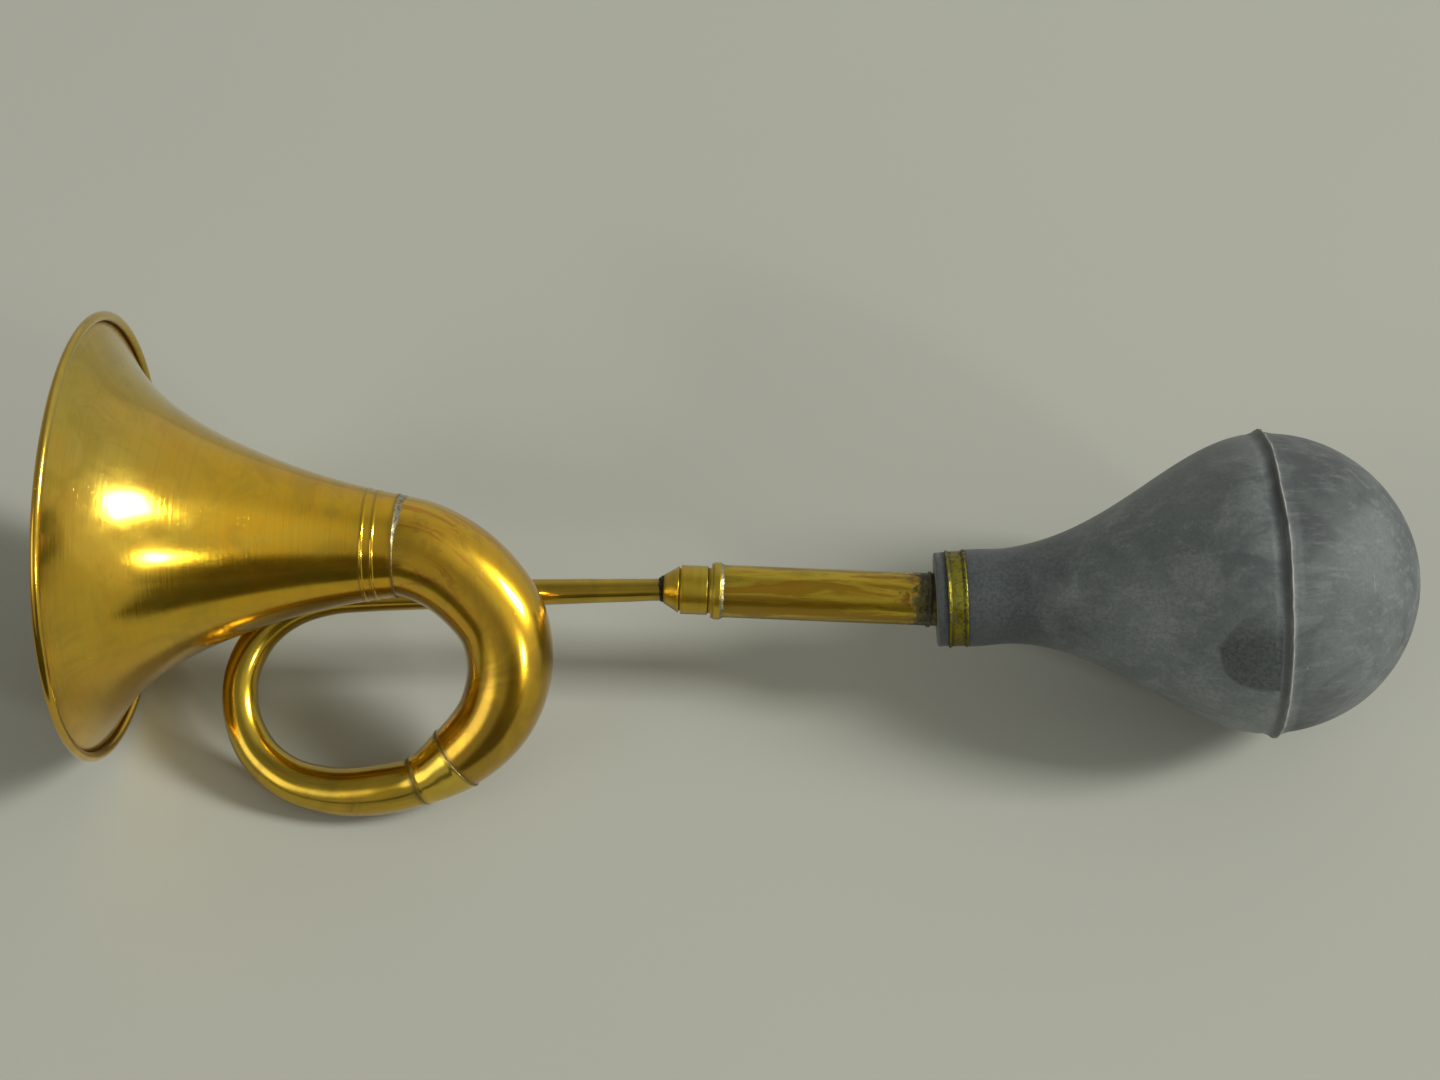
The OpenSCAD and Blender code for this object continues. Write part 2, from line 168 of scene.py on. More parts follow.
def coil_frame(u):
    """Centre, direction outwards from the loop, direction to the viewer's side, and radius."""
    probe = 0.01
    c = coil_at(u)
    if u <= 0:
        way = BELL_WAY
    else:
        way = unit(coil_at(min(u + probe, COIL_LAST))[:3] - coil_at(max(u - probe, 0))[:3])
    outwards = unit(np.cross(Z, way))
    return c[:3], outwards, np.cross(way, outwards), c[3]


def axis_place(at, way):
    """Place of a turned piece: origin, direction to the viewer, direction up the coil's plane
    and axis. Angle 0 faces the viewer and a quarter turn on is up."""
    up = unit(np.cross(Z, way)) * (1 if way[0] > 0 else -1)
    toward = unit(np.cross(way, up)) * (1 if way[0] > 0 else -1)
    return np.array(at, float), toward, up, way


ON_BELL = axis_place(COIL[0, :3], -BELL_WAY)
ON_TUBE = axis_place((0, 0, 0), X)
ON_BULB = axis_place((TUBE_L, 0, 0), BULB_WAY)


def on_axis(place, radius, angle, along):
    """Points at a radius, an angle and a distance along a place's axis."""
    at, toward, up, way = place
    radius, angle, along = np.broadcast_arrays(radius, angle, along)
    return (at + (radius * np.cos(angle))[..., None] * toward
            + (radius * np.sin(angle))[..., None] * up + along[..., None] * way)


def lumps(points, size, seed):
    """Smooth noise from about -1 to 1 at each point, with lumps of that size in millimetres. Each
    seed reads another part of the same noise."""
    seed_shift = 17.3
    flat = np.asarray(points, float).reshape(-1, 3) / size + seed_shift * (seed + 1)
    values = [noise.noise(Vector(p)) for p in flat]
    return np.array(values).reshape(np.shape(points)[:-1])


def smooth(t):
    t = np.clip(t, 0, 1)
    return t * t * (3 - 2 * t)


def around(sides):
    """Angles round a circle."""
    return np.linspace(0, 2 * math.pi, sides, endpoint=False)


def circle(angle, radius):
    """Points on a circle at those angles, for lumps that run round without a step."""
    return np.stack([radius * np.cos(angle), radius * np.sin(angle), 0 * angle], -1)


# ---- mesh tools
def put(name, data):
    """Adds an object with that mesh, lamp or camera to the scene."""
    thing = bpy.data.objects.new(name, data)
    bpy.context.scene.collection.objects.link(thing)
    return thing


def new_mesh(name, points, faces, local=None):
    """Mesh from points in metres. local is kept in it: coordinates in millimetres for materials."""
    mesh = bpy.data.meshes.new(name)
    mesh.from_pydata(points, [], faces)
    if local is not None:
        mesh.attributes.new("local", "FLOAT_VECTOR", "POINT").data.foreach_set(
            "vector", np.ascontiguousarray(local, np.float32).reshape(-1))
    return mesh


def arc(centre, radius, start, end, steps):
    """Points (radius, along) on an arc of a turned piece's outline; angles in degrees."""
    a = np.radians(np.linspace(start, end, steps))
    return np.column_stack([centre[0] + radius * np.cos(a), centre[1] + radius * np.sin(a)])


def eased(outline, reach, steps=4):
    """The outline with every inner corner rounded; reach is how far the rounding runs."""
    p = np.asarray(outline, float)
    out = [p[0]]
    for before, corner, after in zip(p[:-2], p[1:-1], p[2:]):
        a, b = before - corner, after - corner
        la, lb = np.linalg.norm(a), np.linalg.norm(b)
        start = corner + a / la * min(reach, la / 2.2)
        end = corner + b / lb * min(reach, lb / 2.2)
        for t in np.linspace(0, 1, steps):
            out.append((1 - t) ** 2 * start + 2 * t * (1 - t) * corner + t * t * end)
    out.append(p[-1])
    return np.array(out)


def divided(outline, step):
    """The outline with its long stretches cut into steps."""
    p = np.asarray(outline, float)
    out = [p[:1]]
    for a, b in zip(p[:-1], p[1:]):
        count = max(1, int(np.ceil(np.linalg.norm(b - a) / step)))
        out.append(a + (b - a) * (np.arange(1, count + 1) / count)[:, None])
    return np.concatenate(out)


def grid_mesh(name, points, local, grime, closed):
    """Piece from rows of points in the horn's frame. Each row goes round; closed joins the last
    row to the first. grime, from 0 to 1, says where dirt lies."""
    rows, sides = points.shape[:2]
    row, side = np.meshgrid(np.arange(rows if closed else rows - 1), np.arange(sides), indexing="ij")
    next_row, next_side = (row + 1) % rows, (side + 1) % sides
    faces = np.stack([row * sides + side, row * sides + next_side,
                      next_row * sides + next_side, next_row * sides + side], -1).reshape(-1, 4)
    mesh = new_mesh(name, to_row(points.reshape(-1, 3)).tolist(), faces.tolist(), local)
    mesh.attributes.new("grime", "FLOAT", "POINT").data.foreach_set(
        "value", np.ascontiguousarray(np.broadcast_to(grime, (rows, sides)), np.float32).reshape(-1))
    shape = bmesh.new()
    shape.from_mesh(mesh)
    bmesh.ops.remove_doubles(shape, verts=shape.verts, dist=1e-6)
    bmesh.ops.recalc_face_normals(shape, faces=shape.faces)
    shape.to_mesh(mesh)
    shape.free()
    mesh.polygons.foreach_set("use_smooth", [True] * len(mesh.polygons))
    mesh.set_sharp_from_angle(angle=math.radians(50))
    return put(name, mesh)


def lathe(name, place, outline, sides=160, swell=None, grime=(), closed=True):
    """Turned piece from an outline of (radius, along). swell(points, angle, along) gives how far
    the surface stands off the outline, and grime lists (radius, along, reach, strength). closed
    joins the outline's end to its start."""
    outline = np.asarray(outline, float)
    angle = around(sides)[None, :]
    radius, along = outline[:, :1], outline[:, 1:]
    local = np.stack(np.broadcast_arrays(radius * np.cos(angle), radius * np.sin(angle), along), -1)
    off = swell(local, angle, along) if swell else 0
    points = on_axis(place, np.maximum(radius + off * np.minimum(radius, 1), 0), angle, along)
    dirt = sum((k * np.exp(-((radius - r) ** 2 + (along - s) ** 2) / w ** 2) for r, s, w, k in grime),
               np.zeros_like(radius))
    return grid_mesh(name, points, local, np.minimum(dirt, 1), closed)


COIL_LENGTH = np.concatenate([[0], np.cumsum(SPANS)])


def coil_length(u):
    return np.interp(u, np.arange(COIL_LAST + 1), COIL_LENGTH)


def coil_surface(u, angle, height):
    """Point at that angle round the coil at station number u, that high above its surface."""
    centre, outwards, toward, radius = coil_frame(u)
    r = radius + height
    return (centre + np.multiply.outer(r * np.cos(angle), outwards)
            + np.multiply.outer(r * np.sin(angle), toward))


def coil_pipe(name, start, end, wall, swell, grime, per_span, proud=0.0, sides=96):
    """Hollow tube along the coil, proud of the stations' radius. grime lists (station number,
    reach, strength)."""
    stops = np.linspace(start, end, int(round((end - start) * per_span)) + 1)
    angle = around(sides)
    outer, inner, local_out, local_in = [], [], [], []
    for u in stops:
        radius = coil_at(u)[3]
        length = np.full_like(angle, coil_length(u))
        unrolled = np.stack([radius * np.cos(angle), radius * np.sin(angle), length], -1)
        outer.append(coil_surface(u, angle, proud + swell(unrolled, angle, u)))
        inner.append(coil_surface(u, angle, -wall))
        local_out.append(unrolled)
        local_in.append(unrolled * (0.9, 0.9, 1))
    points = np.array(outer + inner[::-1])
    local = np.array(local_out + local_in[::-1])
    dirt = sum((k * np.exp(-((stops - at) / w) ** 2) for at, w, k in grime), np.zeros_like(stops))
    dirt = np.concatenate([dirt, dirt[::-1]])
    return grid_mesh(name, points, local, np.minimum(dirt, 1)[:, None], closed=True)


def solder_bead(name, surface, start, end, height):
    """Run of solder round a joint. surface(angle, distance, height) gives a point. The run goes
    from start to end, which holds a distance for each angle; it is highest at its start, and its
    foot lies inside the pieces that it joins."""
    foot, rows, lean, unrolled_r = 0.25, 10, 1.6, 8
    angle = around(len(end))
    points, local = [], []
    for x in np.linspace(0, 1, rows):
        distance = start + (end - start) * x
        rise = height * (1 - x) ** lean
        points.append([surface(a, d, h) for a, d, h in zip(angle, distance, rise)])
        local.append(circle(angle, unrolled_r) + distance[:, None] * Z)
    for x in (1.0, 0.0):
        distance = start + (end - start) * x
        points.append([surface(a, d, -foot) for a, d in zip(angle, distance)])
        local.append(local[-1])
    return grid_mesh(name, np.array(points), np.array(local), 0, closed=True)


def blob(name, at, size, stretch, seed):
    """Irregular drop of solder round a point, about size in radius, drawn out along one direction."""
    shape = bmesh.new()
    bmesh.ops.create_icosphere(shape, subdivisions=4, radius=1.0)
    way = unit(stretch)
    for v in shape.verts:
        p = np.array(v.co)
        swell = 1 + 0.22 * noise.noise(Vector(p * 1.3 + seed)) + 0.08 * noise.noise(Vector(p * 4 + seed))
        v.co = p * swell + way * (p @ way) * 0.5
    co = np.array([v.co for v in shape.verts])
    faces = [[v.index for v in f.verts] for f in shape.faces]
    shape.free()
    mesh = new_mesh(name, to_row(co * size + at).tolist(), faces, co * size)
    mesh.polygons.foreach_set("use_smooth", [True] * len(mesh.polygons))
    return put(name, mesh)


# ---- materials
class Nodes:
    """Short calls that add nodes to a material or world and return their outputs."""

    def __init__(self, tree):
        self.tree = tree

    def add(self, kind, **settings):
        node = self.tree.nodes.new(kind)
        for key, value in settings.items():
            if hasattr(node, key) and key not in node.inputs:
                setattr(node, key, value)
            else:
                self.set(node.inputs[key], value)
        return node

    def set(self, socket, value):
        if isinstance(value, bpy.types.NodeSocket):
            self.tree.links.new(value, socket)
        elif isinstance(value, tuple) and len(value) == 3 and socket.type == "RGBA":
            socket.default_value = (*value, 1)
        else:
            socket.default_value = value

    def range(self, value, low, high, to_low=0.0, to_high=1.0):
        ends = {"From Min": low, "From Max": high, "To Min": to_low, "To Max": to_high}
        return self.add("ShaderNodeMapRange", interpolation_type="SMOOTHSTEP", Value=value,
                        **ends).outputs["Result"]

    def math(self, operation, a, b):
        node = self.add("ShaderNodeMath", operation=operation)
        self.set(node.inputs[0], a)
        self.set(node.inputs[1], b)
        return node.outputs[0]

    def times(self, a, b):
        return self.math("MULTIPLY", a, b)

    def plus(self, a, b):
        return self.math("ADD", a, b)

    def minus(self, a, b):
        return self.math("SUBTRACT", a, b)

    def mix(self, share, a, b):
        node = self.add("ShaderNodeMix", data_type="RGBA")
        self.set(node.inputs[0], share)
        self.set(node.inputs[6], a)
        self.set(node.inputs[7], b)
        return node.outputs[2]


class Look(Nodes):
    """A material in the making; its colour is the base colour so far."""

    def __init__(self, name, on_cad=False, **constants):
        self.material = bpy.data.materials.new(name)
        self.material.use_nodes = True
        super().__init__(self.material.node_tree)
        self.shader = self.tree.nodes["Principled BSDF"]
        for socket, value in constants.items():
            self.shader.inputs[socket.replace("_", " ")].default_value = value
        if on_cad:
            place = self.add("ShaderNodeTexCoord").outputs["Object"]
            self.local = self.add("ShaderNodeVectorMath", operation="SCALE", Vector=place,
                                  Scale=1 / MM).outputs["Vector"]
        else:
            self.local = self.add("ShaderNodeAttribute", attribute_name="local").outputs["Vector"]
        self.grime = self.add("ShaderNodeAttribute", attribute_name="grime").outputs["Fac"]

    def stretched(self, scale, turn=(0, 0, 0)):
        node = self.add("ShaderNodeMapping", Vector=self.local, Scale=scale)
        node.inputs["Rotation"].default_value = turn
        return node.outputs["Vector"]

    def noise(self, scale, detail=4.0, rough=0.55, turn=(0, 0, 0), warp=0.0):
        """Noise with that many lumps per millimetre along each local axis."""
        scale = scale if isinstance(scale, tuple) else (scale, scale, scale)
        return self.add("ShaderNodeTexNoise", Vector=self.stretched(scale, turn), Scale=1.0,
                        Detail=detail, Roughness=rough, Distortion=warp).outputs["Fac"]

    def dots(self, per_mm, size, share):
        """1 in small round dots, in that share of the cells, and 0 elsewhere."""
        cell = self.add("ShaderNodeTexVoronoi", Vector=self.stretched((per_mm,) * 3), Scale=1.0)
        inside = self.range(cell.outputs["Distance"], size, size * 0.4)
        grey = self.add("ShaderNodeRGBToBW", Color=cell.outputs["Color"]).outputs["Val"]
        return self.times(inside, self.range(grey, 1 - share, 1.02 - share))

    def paint(self, share, colour):
        """Lays a colour over the material's own; share is 0 to 1, or a mask of such numbers."""
        self.colour = self.mix(share, self.colour, colour)

    def distance(self, centre):
        node = self.add("ShaderNodeVectorMath", operation="DISTANCE", Vector=self.local)
        node.inputs[1].default_value = centre
        return node.outputs["Value"]

    def part(self, axis):
        """How far along one of the local axes, in millimetres."""
        return self.add("ShaderNodeSeparateXYZ", Vector=self.local).outputs[axis]

    def along(self):
        return self.part("Z")

    def bump(self, height, distance, below=None):
        """Normal from a height of 0 to 1 that stands for a distance in millimetres."""
        node = self.add("ShaderNodeBump", Height=height, Distance=distance * MM, Strength=1.0)
        if below is not None:
            self.set(node.inputs["Normal"], below)
        return node.outputs["Normal"]

    def finish(self, roughness, normal=None, metal=None):
        self.set(self.shader.inputs["Base Color"], self.colour)
        self.set(self.shader.inputs["Roughness"], roughness)
        if normal is not None:
            self.set(self.shader.inputs["Normal"], normal)
        if metal is not None:
            self.set(self.shader.inputs["Metallic"], metal)
        return self.material


GOLD = (0.78, 0.455, 0.010)
ORANGE = (0.74, 0.37, 0.006)
# painted pale reflection, laid on the bell's upper flare
PAINTED_PALE_REFLECTION = (0.64, 0.48, 0.08)
KHAKI = (0.60, 0.45, 0.04)
OLIVE = (0.32, 0.23, 0.015)
PATINA = (0.40, 0.28, 0.018)
BROWN = (0.24, 0.12, 0.01)
SOOT = (0.05, 0.035, 0.015)
HEAT_RED = (0.55, 0.22, 0.006)
TAN = (0.42, 0.25, 0.012)
LACQUER = {"Coat_Weight": 0.4, "Coat_Roughness": 0.13, "Coat_IOR": 1.5}


def brass_look(name, gold, stain, along_lines, streaks, stains, roughness, on_cad=False, grain=0.012,
               film=0.30, rim=False, heated=False, coat=0.4):
    """Worn brass. along_lines is true for marks that run along the piece and false for turned marks
    round it. streaks, stains and film say how strong the tarnish is, and coat how much lacquer is
    left, from 0 to 1; grain is how deep the fine marks are, in millimetres. rim is true for the bell,
    whose flare gets a painted pale reflection on its upper side and whose rolled rim is browner.
    heated is true for the bend, which the soldering has tinted red near the seam and tanned beyond."""
    look = Look(name, on_cad, Metallic=1.0, **{**LACQUER, "Coat_Weight": coat})
    across, along = (0.9, 0.012) if along_lines else (0.012, 1.0)
    fine = look.noise((across, across, along), detail=5, rough=0.75)
    streak = look.noise((across * 0.5, across * 0.5, along * 0.5), detail=4, rough=0.6)
    broad = look.noise(0.03, detail=3)
    patch = look.noise(0.075, detail=6, rough=0.68, warp=0.6)
    smear = look.noise((0.25, 0.25, 0.05), detail=4, turn=(0.5, 0.3, 0))
    scratch_a = look.noise((3.4, 0.04, 3.4), detail=1, turn=(0.4, 0.9, 0.3))
    scratch_b = look.noise((0.05, 2.8, 3.0), detail=1, turn=(0.7, -0.5, 0.2))
    scratches = look.plus(look.range(scratch_a, 0.74, 0.79), look.range(scratch_b, 0.75, 0.80))
    pits = look.dots(0.16, 0.085, 0.22)
    if rim:
        # painted reflection: the flare is painted paler on its upper side, more so towards the mouth
        upper = look.range(look.part("Y"), -20, 40, 0.35, 1)
        gold = look.mix(look.times(upper, look.range(look.along(), 38, 80, 0, 0.9)), gold, PAINTED_PALE_REFLECTION)
    look.colour = look.mix(look.range(broad, 0.35, 0.7, 0, 0.5), gold, ORANGE)
    look.paint(look.range(smear, 0.45, 0.75, 0, 0.45), KHAKI)
    haze = look.noise(0.045, detail=6, rough=0.62, warp=1.2)
    look.paint(look.range(haze, 0.42, 0.62, 0, film), PATINA)
    look.paint(look.range(streak, 0.42, 0.75, 0, streaks), stain)
    look.paint(look.range(patch, 0.56, 0.72, 0, stains), BROWN)
    look.paint(look.times(pits, 0.75), SOOT)
    if heated:
        tint = look.range(look.noise((0.16, 0.16, 0.045), detail=6, rough=0.7, warp=0.8), 0.51, 0.57)
        near_seam = look.range(look.along(), 10, 34, 0.8, 0.15)
        look.paint(look.times(tint, near_seam), HEAT_RED)
        tanned = look.times(look.range(look.along(), 26, 58),
                            look.range(haze, 0.36, 0.56, 0.3, 0.8))
        look.paint(tanned, TAN)
    if rim:
        bead = look.range(look.along(), BELL_L - 1.5, BELL_L - 1.1, 0, 0.6)
        look.paint(bead, (0.50, 0.25, 0.015))
        lines = look.noise((0.02, 0.02, 2.0), detail=4, rough=0.8)
        look.paint(look.range(lines, 0.48, 0.72, 0, 0.24), (0.40, 0.26, 0.03))
    look.paint(look.times(look.grime, 0.85), SOOT)
    rough = look.range(smear, 0.35, 0.8, roughness, roughness + 0.06)
    rough = look.plus(rough, look.range(patch, 0.5, 0.75, 0, 0.10 * stains))
    rough = look.plus(rough, look.times(look.grime, 0.35))
    rough = look.plus(rough, look.times(fine, 0.05))
    normal = look.bump(scratches, 0.006, look.bump(fine, grain))
    normal = look.bump(look.minus(1.0, pits), 0.05, normal)
    normal = look.bump(patch, 0.006, normal)
    return look.finish(rough, normal)


def tube_look():
    """The bulb tube: streaky tarnish along it, and verdigris where it enters the rubber."""
    look = Look("brass_bulb_tube", Metallic=1.0, **LACQUER)
    fine = look.noise((1.6, 1.6, 0.03), detail=5, rough=0.7)
    streak = look.noise((0.24, 0.24, 0.030), detail=5, rough=0.62, warp=0.9)
    streak_b = look.noise((0.40, 0.40, 0.055), detail=5, rough=0.65, turn=(0, 0, 0.6), warp=0.8)
    look.colour = look.mix(look.range(streak, 0.42, 0.58), (0.60, 0.43, 0.03), (0.36, 0.20, 0.010))
    look.paint(look.range(streak_b, 0.50, 0.72, 0, 0.7), (0.30, 0.24, 0.015))
    mottle = look.noise(0.35, detail=6, rough=0.7)
    reach = look.plus(look.along(), look.times(mottle, 16.0))
    green = look.range(reach, 66.5, 70.5)
    spot = look.noise(0.22, detail=4, rough=0.6)
    rust = look.times(look.range(reach, 62.0, 65.5), look.range(spot, 0.48, 0.58))
    look.paint(look.times(rust, 0.85), (0.15, 0.055, 0.012))
    look.paint(look.times(green, 0.93),
                      look.mix(look.range(mottle, 0.50, 0.60), (0.010, 0.014, 0.003), (0.080, 0.072, 0.006)))
    look.paint(look.times(look.grime, 0.8), SOOT)
    rough = look.plus(look.range(streak, 0.35, 0.7, 0.26, 0.38), look.times(green, 0.35))
    rough = look.plus(rough, look.times(rust, 0.2))
    normal = look.bump(mottle, 0.06, look.bump(fine, 0.010))
    metal = look.minus(1.0, look.times(green, 0.9))
    return look.finish(rough, normal, metal)


def band_look():
    """The clamping band: thin yellow brass mottled with green-black corrosion."""
    look = Look("brass_band", Metallic=1.0)
    mottle = look.noise(0.55, detail=7, rough=0.72, warp=0.5)
    broad = look.noise(0.09, detail=3)
    look.colour = look.mix(look.range(broad, 0.4, 0.62), (0.40, 0.36, 0.03), (0.25, 0.20, 0.015))
    dark = look.range(mottle, 0.47, 0.58)
    look.paint(look.times(dark, 0.88), (0.04, 0.045, 0.018))
    look.paint(look.times(look.grime, 0.8), (0.03, 0.03, 0.015))
    rough = look.plus(look.range(dark, 0.0, 1.0, 0.27, 0.6), look.times(look.grime, 0.2))
    normal = look.bump(mottle, 0.14)
    metal = look.minus(1.0, look.times(dark, 0.5))
    return look.finish(rough, normal, metal)


def solder_look(name, tone, dark, shine, brass=0.0):
    look = Look(name, Metallic=1.0)
    lump = look.noise(0.9, detail=5, rough=0.65)
    speck = look.noise(2.2, detail=3)
    look.colour = look.mix(look.range(lump, 0.38, 0.66), dark, tone)
    look.paint(look.range(speck, 0.60, 0.70, 0, 0.6), dark)
    look.paint(look.range(look.noise(1.5, detail=4), 0.50, 0.62, 0, brass), KHAKI)
    return look.finish(look.range(lump, 0.3, 0.7, shine + 0.22, shine), look.bump(lump, 0.16))


def rubber_look():
    """Old grey rubber with a whitish bloom and scuffs. It is painted darker at the neck, as painted shade
    with some dirt by the band, behind the seam, as painted shade, and, in streaks, above it, and it has a
    rubbed dark patch beside the seam."""
    look = Look("rubber_bulb", Specular_IOR_Level=0.42, Sheen_Weight=0.10, Sheen_Roughness=0.6)
    seam = BULB_FRONT_L
    along, up = look.along(), look.part("Y")
    broad = look.noise(0.022, detail=4, rough=0.5, warp=0.4)
    cloud = look.noise(0.07, detail=6, rough=0.62, warp=0.5)
    grain = look.noise(0.9, detail=6, rough=0.75)
    streak = look.noise((0.30, 0.30, 0.045), detail=5, rough=0.68, turn=(0.15, 0.1, 0))
    look.colour = look.mix(look.range(broad, 0.36, 0.66), (0.102, 0.126, 0.131), (0.151, 0.177, 0.177))
    look.paint(look.range(cloud, 0.45, 0.66, 0, 0.6), (0.222, 0.243, 0.236))
    look.paint(look.range(streak, 0.50, 0.64, 0, 0.45), (0.213, 0.228, 0.219))
    look.paint(look.range(grain, 0.38, 0.60, 0.40, 0), (0.052, 0.065, 0.069))

    # painted shade with some dirt by the band: the neck is painted darker, fading out in clouds between
    # about 35 and 75 mm along
    neck = look.range(look.plus(along, look.times(cloud, 30.0)), 35, 75, 0.95, 0)
    neck_dirt_and_shade = look.mix(look.range(grain, 0.4, 0.6), (0.020, 0.026, 0.028), (0.037, 0.046, 0.048))
    look.paint(neck, neck_dirt_and_shade)

    # painted shade: the half behind the seam is painted darker against the windows' light, with paler
    # streaks
    rear = look.times(look.range(along, seam - 2, seam + 3), look.range(broad, 0.40, 0.60, 0.92, 0.66))
    rear_painted_shade = look.mix(look.range(cloud, 0.40, 0.60), (0.018, 0.024, 0.025), (0.046, 0.055, 0.054))
    rear_painted_shade = look.mix(look.range(streak, 0.50, 0.66, 0, 0.4), rear_painted_shade, (0.115, 0.128, 0.122))
    look.paint(rear, rear_painted_shade)

    # darker rubber in front of the seam's upper half, and a painted shade line just in front of the flash
    upper = look.times(look.range(along, seam - 30, seam - 6), look.range(along, seam, seam + 1, 1, 0))
    upper = look.times(upper, look.range(up, -22, 6))
    upper = look.times(upper, look.range(cloud, 0.40, 0.62, 0.70, 0.30))
    look.paint(upper, (0.050, 0.062, 0.066))
    # painted shade: a thin dark band just in front of the flash
    dirt = look.times(look.range(along, seam - 2.6, seam - 1.2),
                      look.range(along, seam - 0.6, seam + 0.2, 1, 0))
    look.paint(look.times(dirt, 0.7), (0.030, 0.034, 0.034))

    # the rubbed patch ends at the seam and fades upwards
    patch_at, patch_r = (39.0, -19.0, 92.0), 17.4
    edge = look.times(look.noise(0.07, detail=2, rough=0.45), 10.0)
    rubbed = look.range(look.plus(look.distance(patch_at), edge), patch_r, patch_r + 1.2, 1, 0)
    rubbed = look.times(rubbed, look.range(along, seam - 2.6, seam - 1.8, 1, 0))
    rubbed = look.times(rubbed, look.range(up, patch_at[1] + 2, patch_at[1] + 13, 1, 0.25))
    patch_tone = look.mix(look.range(grain, 0.38, 0.62), (0.026, 0.034, 0.037), (0.066, 0.077, 0.079))
    look.paint(look.times(rubbed, 0.85), patch_tone)

    scuff_a = look.range(look.noise((1.5, 0.04, 1.7), detail=2, turn=(0.5, 0.8, 0.4)), 0.73, 0.78)
    scuff_b = look.range(look.noise((0.05, 1.3, 1.6), detail=2, turn=(0.9, -0.4, 0.3)), 0.73, 0.78)
    scuffs = look.times(look.plus(scuff_a, scuff_b), look.range(cloud, 0.4, 0.6))
    look.paint(look.times(scuffs, 0.7), (0.38, 0.39, 0.38))
    look.paint(look.times(look.grime, 0.75), (0.36, 0.355, 0.31))
    rough = look.minus(look.range(cloud, 0.35, 0.75, 0.50, 0.66), look.times(rubbed, 0.12))
    rough = look.plus(rough, look.times(rear, 0.16))
    normal = look.bump(cloud, 0.25, look.bump(grain, 0.05))
    return look.finish(rough, normal)


def thread_look():
    look = Look("waxed_thread", Specular_IOR_Level=0.35)
    fibre = look.noise((2.5, 2.5, 0.8), detail=5, rough=0.7)
    look.colour = look.mix(look.range(fibre, 0.35, 0.7), (0.30, 0.20, 0.10), (0.55, 0.42, 0.25))
    return look.finish(0.62, look.bump(fibre, 0.08))


def wire_look():
    look = Look("rim_wire_steel", on_cad=True, Metallic=1.0)
    scale = look.noise(0.8, detail=5)
    look.colour = look.mix(scale, (0.30, 0.29, 0.28), (0.16, 0.13, 0.11))
    return look.finish(look.range(scale, 0.3, 0.7, 0.35, 0.55), look.bump(scale, 0.02))


def matt_look(name, shine, cloud, dark, pale):
    """Paper or cloth, clouded between two tones."""
    look = Look(name, on_cad=True, Specular_IOR_Level=shine)
    look.colour = look.mix(look.noise(cloud, detail=3), dark, pale)
    return look.finish(roughness=0.9)


LOOKS = {
    "bell": brass_look("brass_bell", GOLD, KHAKI, along_lines=False, streaks=0.35, stains=0.30,
                       roughness=0.12, grain=0.042, film=0.38, rim=True, coat=0.5),
    "bend": brass_look("brass_bend", (0.74, 0.45, 0.010), (0.58, 0.26, 0.006), along_lines=True,
                       streaks=0.45, stains=0.45, roughness=0.17, grain=0.004, film=0.45,
                       heated=True, coat=0.7),
    "sleeve": brass_look("brass_sleeve", (0.76, 0.53, 0.05), KHAKI, along_lines=True, streaks=0.35,
                         stains=0.45, roughness=0.14, grain=0.005, film=0.35, coat=0.7),
    "coil": brass_look("brass_coil", (0.54, 0.37, 0.014), OLIVE, along_lines=True, streaks=0.80,
                       stains=0.55, roughness=0.15, grain=0.006, film=0.6, coat=0.7),
    "turned": brass_look("brass_turned", (0.60, 0.45, 0.04), OLIVE, along_lines=False, streaks=0.50,
                         stains=0.45, roughness=0.27, film=0.5),
    "reed": brass_look("brass_reed", (0.78, 0.60, 0.16), KHAKI, along_lines=True, streaks=0.4,
                       stains=0.35, roughness=0.20, on_cad=True),
    "tube": tube_look(),
    "band": band_look(),
    "solder": solder_look("solder_bright", (0.50, 0.49, 0.44), (0.17, 0.15, 0.10), 0.32, 0.7),
    "dull_solder": solder_look("solder_dull", (0.30, 0.26, 0.17), (0.10, 0.08, 0.045), 0.36, 0.4),
    "black_solder": solder_look("solder_blackened", (0.085, 0.07, 0.05), (0.02, 0.017, 0.014), 0.42),
    "rubber": rubber_look(),
    "thread": thread_look(),
    "wire": wire_look(),
}


def dress(piece, look, slot, body, *nodes):
    """Gives a piece its material, hides the CAD nodes that it stands for, and lets it ride. slot is not
    used.
    """
    piece.data.materials.clear()
    piece.data.materials.append(LOOKS[look])
    if nodes:
        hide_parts(*nodes)
    if body:
        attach(piece, body)
    return piece


def repaint(node, look):
    """Gives a CAD node that stays in view a better material."""
    for material_slot in frame["nodes"][node].material_slots:
        material_slot.material = LOOKS[look]


# ---- the bell
def bell_radius(s):
    t = np.clip(np.asarray(s, float) / BELL_L, 0, 1)
    share = FLARE[0] * t + FLARE[1] * t * t + FLARE[2] * t ** FLARE_POWER
    return TAIL_R + (BELL_R - BEAD_R - TAIL_R) * share


